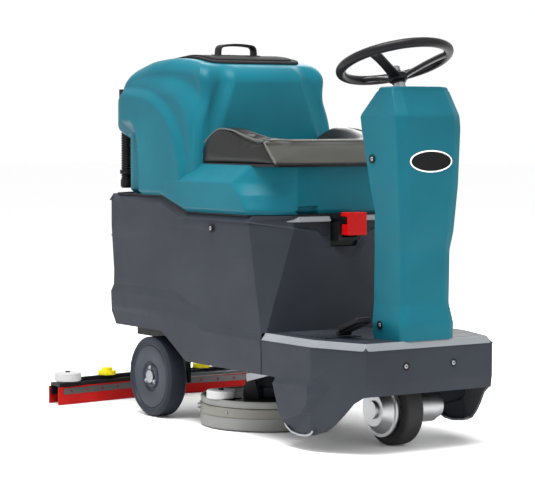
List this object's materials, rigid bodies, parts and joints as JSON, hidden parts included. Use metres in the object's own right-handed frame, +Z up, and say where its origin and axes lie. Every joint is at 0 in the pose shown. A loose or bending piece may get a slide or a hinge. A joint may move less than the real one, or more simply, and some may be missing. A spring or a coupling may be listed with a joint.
{
  "type": "ride-on floor scrubber",
  "caption": "Micro ride-on floor scrubber with tilting recovery tank and seat, steered front drive wheel, lifting disc scrub deck and swivelling rear squeegee.",
  "frame": {"origin": "on the floor, at the middle of the footprint's bounding box", "axes": "+X forward, towards the steering column and the front wheel; +Y to the machine's left; +Z up"},
  "size_m": [1.553, 0.8, 1.17],
  "materials": {
    "grey_plastic": "satin rotomoulded polyethylene",
    "teal_plastic": "satin rotomoulded polyethylene",
    "black_plastic": "fine grained moulded",
    "black_steel": "powder coated",
    "bright_steel": "zinc plated",
    "cast_aluminium": "as cast",
    "grey_rubber": "moulded polyurethane",
    "black_rubber": "moulded",
    "grey_hub": "moulded nylon",
    "seat_vinyl": "grained vinyl",
    "red_plastic": "moulded",
    "red_rubber": "cast polyurethane",
    "light_grey": "moulded",
    "warm_grey": "painted",
    "screen_glass": "polished",
    "badge": "polished",
    "yellow_plastic": "moulded",
    "battery_case": "moulded polypropylene",
    "bristle": "nylon tufts"
  },
  "bodies": {
    "root": {"chassis_frame": "black_steel", "rear_axle": "bright_steel", "solution_tank": "grey_plastic", "foot_platform": "grey_plastic", "front_bumper": "grey_plastic", "guard_strips": "bright_steel", "cover_screws": "black_steel", "column_cover": "teal_plastic", "column_back_panel": "black_plastic", "badge_plate": "badge", "console_panel": "black_plastic", "display_screen": "screen_glass", "steering_chain": "bright_steel", "tank_hinge": "black_steel", "battery_right": "battery_case", "battery_left": "battery_case", "disconnect_socket": "black_plastic"},
    "steering_wheel": {"steering_wheel": "black_plastic", "steering_shaft": "black_steel"},
    "lower_shaft": {"lower_steering_shaft": "bright_steel"},
    "drive_unit": {"drive_bracket": "cast_aluminium", "gear_housing": "cast_aluminium", "drive_motor": "cast_aluminium"},
    "drive_wheel": {"drive_hub": "cast_aluminium", "drive_tyre": "black_rubber"},
    "rear_wheel_right": {"rear_tyre_right": "grey_rubber", "rear_hub_right": "grey_hub"},
    "rear_wheel_left": {"rear_tyre_left": "grey_rubber", "rear_hub_left": "grey_hub"},
    "recovery_tank": {"recovery_tank": "teal_plastic", "vacuum_motor": "black_plastic", "tank_hinge_leaves": "black_steel", "drain_hose": "black_rubber", "hose_clips": "black_plastic", "seat_cushion": "seat_vinyl"},
    "lid": {"tank_lid": "black_plastic", "lid_handle": "black_plastic"},
    "drain_cap": {"drain_cap": "black_plastic"},
    "battery_plug": {"disconnect_handle": "red_plastic"},
    "key": {"key_switch": "bright_steel"},
    "brush_button": {"brush_button": "yellow_plastic"},
    "squeegee_button": {"squeegee_button": "light_grey"},
    "pedal": {"pedal_arm": "bright_steel", "pedal_pad": "black_rubber"},
    "deck_arms": {"deck_arms": "bright_steel"},
    "scrub_deck": {"deck_housing": "black_steel", "deck_skirt": "light_grey", "deck_clamp_band": "warm_grey", "deck_motor": "grey_hub"},
    "brush": {"scrub_brush": "bristle"},
    "deck_roller": {"deck_roller": "light_grey"},
    "squeegee_arm": {"squeegee_arm": "black_steel"},
    "squeegee": {"squeegee_frame": "black_steel", "front_blade": "red_rubber", "rear_blade": "red_rubber", "blade_straps": "bright_steel"},
    "squeegee_roller_right": {"squeegee_roller_right": "light_grey"},
    "squeegee_roller_left": {"squeegee_roller_left": "light_grey"},
    "squeegee_knob_right": {"squeegee_knob_right": "yellow_plastic"},
    "squeegee_knob_left": {"squeegee_knob_left": "yellow_plastic"}
  },
  "joints": [
    {"name": "drive_steer", "type": "hinge", "parent": "root", "child": "drive_unit", "pos_m": [0.609, 0, 0.24], "axis": [0, 0, 1], "range_deg": [-75, 75]},
    {"name": "steering_wheel_turn", "type": "hinge", "parent": "root", "child": "steering_wheel", "pos_m": [0.607, 0, 1.092], "axis": [-0.3256, 0, 0.9455], "range_deg": [-225, 225]},
    {"name": "lower_shaft_turn", "type": "hinge", "parent": "root", "child": "lower_shaft", "pos_m": [0.724, 0, 0.24], "axis": [0, 0, 1], "range_deg": [-225, 225]},
    {"name": "drive_wheel_roll", "type": "hinge", "parent": "drive_unit", "child": "drive_wheel", "pos_m": [0.609, 0, 0.105], "axis": [0, 1, 0], "continuous": true},
    {"name": "rear_wheel_right_roll", "type": "hinge", "parent": "root", "child": "rear_wheel_right", "pos_m": [-0.281, -0.251, 0.125], "axis": [0, 1, 0], "continuous": true},
    {"name": "rear_wheel_left_roll", "type": "hinge", "parent": "root", "child": "rear_wheel_left", "pos_m": [-0.281, 0.251, 0.125], "axis": [0, 1, 0], "continuous": true},
    {"name": "tank_tilt", "type": "hinge", "parent": "root", "child": "recovery_tank", "pos_m": [-0.564, 0, 0.697], "axis": [0, -1, 0], "range_deg": [0, 55]},
    {"name": "lid_open", "type": "hinge", "parent": "recovery_tank", "child": "lid", "pos_m": [-0.459, 0, 1.077], "axis": [0, -1, 0], "range_deg": [0, 80]},
    {"name": "drain_cap_open", "type": "hinge", "parent": "recovery_tank", "child": "drain_cap", "pos_m": [-0.573, -0.206, 0.992], "axis": [0, -1, 0], "range_deg": [0, 100]},
    {"name": "battery_plug_pull", "type": "slide", "parent": "root", "child": "battery_plug", "axis": [1, 0, 0], "range_m": [0, 0.045]},
    {"name": "key_turn", "type": "hinge", "parent": "root", "child": "key", "pos_m": [0.64236, -0.062, 0.98709], "axis": [-0.727, 0, 0.6866], "range_deg": [0, 90]},
    {"name": "brush_button_press", "type": "slide", "parent": "root", "child": "brush_button", "axis": [0.727, 0, -0.6866], "range_m": [0, 0.002], "stiffness_N_per_m": 500, "springref_m": -0.003},
    {"name": "squeegee_button_press", "type": "slide", "parent": "root", "child": "squeegee_button", "axis": [0.727, 0, -0.6866], "range_m": [0, 0.002], "stiffness_N_per_m": 500, "springref_m": -0.003},
    {"name": "pedal_press", "type": "hinge", "parent": "root", "child": "pedal", "pos_m": [0.575, -0.152, 0.325], "axis": [0, 1, 0], "range_deg": [0, 12], "stiffness_Nm_per_rad": 3, "springref_deg": -11.46},
    {"name": "deck_lift", "type": "hinge", "parent": "root", "child": "deck_arms", "pos_m": [0.309, -0.058, 0.205], "axis": [0, 1, 0], "range_deg": [0, 12]},
    {"name": "deck_level", "type": "hinge", "parent": "deck_arms", "child": "scrub_deck", "pos_m": [0.089, -0.058, 0.15], "axis": [0, 1, 0], "range_deg": [-12, 0]},
    {"name": "brush_spin", "type": "hinge", "parent": "scrub_deck", "child": "brush", "pos_m": [0.054, -0.058, 0.06], "axis": [0, 0, 1], "continuous": true},
    {"name": "deck_roller_spin", "type": "hinge", "parent": "scrub_deck", "child": "deck_roller", "pos_m": [0.061, -0.235, 0.103], "axis": [0, 0, 1], "continuous": true},
    {"name": "squeegee_lift", "type": "hinge", "parent": "root", "child": "squeegee_arm", "pos_m": [-0.451, 0, 0.172], "axis": [0, 1, 0], "range_deg": [0, 14]},
    {"name": "squeegee_swivel", "type": "hinge", "parent": "squeegee_arm", "child": "squeegee", "pos_m": [-0.741, 0, 0.09], "axis": [0, 0, 1], "range_deg": [-20, 20]},
    {"name": "squeegee_roller_right_spin", "type": "hinge", "parent": "squeegee", "child": "squeegee_roller_right", "pos_m": [-0.68476, -0.352, 0.09], "axis": [0, 0, 1], "continuous": true},
    {"name": "squeegee_roller_left_spin", "type": "hinge", "parent": "squeegee", "child": "squeegee_roller_left", "pos_m": [-0.68476, 0.352, 0.09], "axis": [0, 0, 1], "continuous": true},
    {"name": "squeegee_knob_right_turn", "type": "hinge", "parent": "squeegee", "child": "squeegee_knob_right", "pos_m": [-0.7188, -0.185, 0.09], "axis": [0, 0, 1], "range_deg": [0, 90]},
    {"name": "squeegee_knob_left_turn", "type": "hinge", "parent": "squeegee", "child": "squeegee_knob_left", "pos_m": [-0.7188, 0.185, 0.09], "axis": [0, 0, 1], "range_deg": [0, 90]}
  ],
  "couplings": [
    {"joint": "steering_wheel_turn", "follows": "drive_steer", "ratio": 3},
    {"joint": "lower_shaft_turn", "follows": "drive_steer", "ratio": 3},
    {"joint": "deck_level", "follows": "deck_lift", "ratio": -1}
  ]
}
